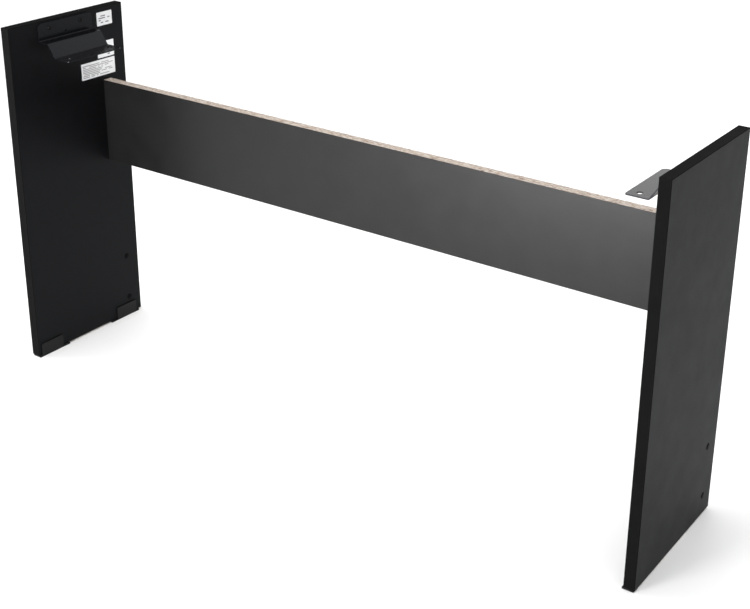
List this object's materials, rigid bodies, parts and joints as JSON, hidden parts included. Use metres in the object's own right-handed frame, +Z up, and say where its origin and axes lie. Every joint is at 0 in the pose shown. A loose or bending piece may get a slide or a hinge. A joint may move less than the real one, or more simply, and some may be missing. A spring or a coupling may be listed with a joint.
{
  "type": "digital piano stand",
  "caption": "Fixed-height stand for a slab digital piano: black laminated side panels joined by a cross panel, with stepped steel brackets that hold the instrument between them.",
  "frame": {"origin": "on the floor, midway between the side panels and midway along their depth", "axes": "+X to the player's right across the stand, +Y to the rear, away from the player, +Z up"},
  "size_m": [1.372, 0.29, 0.69],
  "materials": {
    "laminate_board": "black fine-grain melamine laminate on particle board, raw speckled board on the unbanded edges",
    "edge_band": "black satin edge band, 1 mm, rounded arrises",
    "coated_steel": "charcoal satin powder coat on sheet steel",
    "black_screw": "black-finished steel, pan head with cross recess",
    "zinc_fastener": "bright zinc",
    "foot_plastic": "black moulded plastic",
    "cap_plastic": "black moulded plastic",
    "beech_dowel": "unfinished beech",
    "label_paper": "white film label with plain grey rules, no lettering"
  },
  "bodies": {
    "stand": {"cross_panel": "laminate_board", "label_lower": "label_paper", "label_middle": "label_paper", "label_upper": "label_paper", "left_bracket": "coated_steel", "left_bracket_screw_front": "black_screw", "left_bracket_screw_rear": "black_screw", "left_cam_bolt_lower": "zinc_fastener", "left_cam_bolt_upper": "zinc_fastener", "left_dowel_lower": "beech_dowel", "left_dowel_upper": "beech_dowel", "left_front_band": "edge_band", "left_front_foot": "foot_plastic", "left_front_foot_screw_1": "zinc_fastener", "left_front_foot_screw_2": "zinc_fastener", "left_inner_cap_lower": "cap_plastic", "left_inner_cap_upper": "cap_plastic", "left_outer_cap_lower": "cap_plastic", "left_outer_cap_upper": "cap_plastic", "left_rear_band": "edge_band", "left_rear_foot": "foot_plastic", "left_rear_foot_screw_1": "zinc_fastener", "left_rear_foot_screw_2": "zinc_fastener", "left_side_panel": "laminate_board", "left_top_band": "edge_band", "right_bracket": "coated_steel", "right_bracket_screw_front": "black_screw", "right_bracket_screw_rear": "black_screw", "right_cam_bolt_lower": "zinc_fastener", "right_cam_bolt_upper": "zinc_fastener", "right_dowel_lower": "beech_dowel", "right_dowel_upper": "beech_dowel", "right_front_band": "edge_band", "right_front_foot": "foot_plastic", "right_front_foot_screw_1": "zinc_fastener", "right_front_foot_screw_2": "zinc_fastener", "right_inner_cap_lower": "cap_plastic", "right_inner_cap_upper": "cap_plastic", "right_outer_cap_lower": "cap_plastic", "right_outer_cap_upper": "cap_plastic", "right_rear_band": "edge_band", "right_rear_foot": "foot_plastic", "right_rear_foot_screw_1": "zinc_fastener", "right_rear_foot_screw_2": "zinc_fastener", "right_side_panel": "laminate_board", "right_top_band": "edge_band"},
    "left_cam_lower": {"left_cam_lower": "zinc_fastener"},
    "left_cam_upper": {"left_cam_upper": "zinc_fastener"},
    "right_cam_lower": {"right_cam_lower": "zinc_fastener"},
    "right_cam_upper": {"right_cam_upper": "zinc_fastener"}
  },
  "joints": [
    {"name": "left_cam_lower_turn", "type": "hinge", "parent": "stand", "child": "left_cam_lower", "pos_m": [-0.631, 0.093, 0.4], "axis": [0, 1, 0], "range_deg": [0, 190]},
    {"name": "left_cam_upper_turn", "type": "hinge", "parent": "stand", "child": "left_cam_upper", "pos_m": [-0.631, 0.093, 0.508], "axis": [0, 1, 0], "range_deg": [0, 190]},
    {"name": "right_cam_lower_turn", "type": "hinge", "parent": "stand", "child": "right_cam_lower", "pos_m": [0.631, 0.093, 0.4], "axis": [0, 1, 0], "range_deg": [0, 190]},
    {"name": "right_cam_upper_turn", "type": "hinge", "parent": "stand", "child": "right_cam_upper", "pos_m": [0.631, 0.093, 0.508], "axis": [0, 1, 0], "range_deg": [0, 190]}
  ]
}
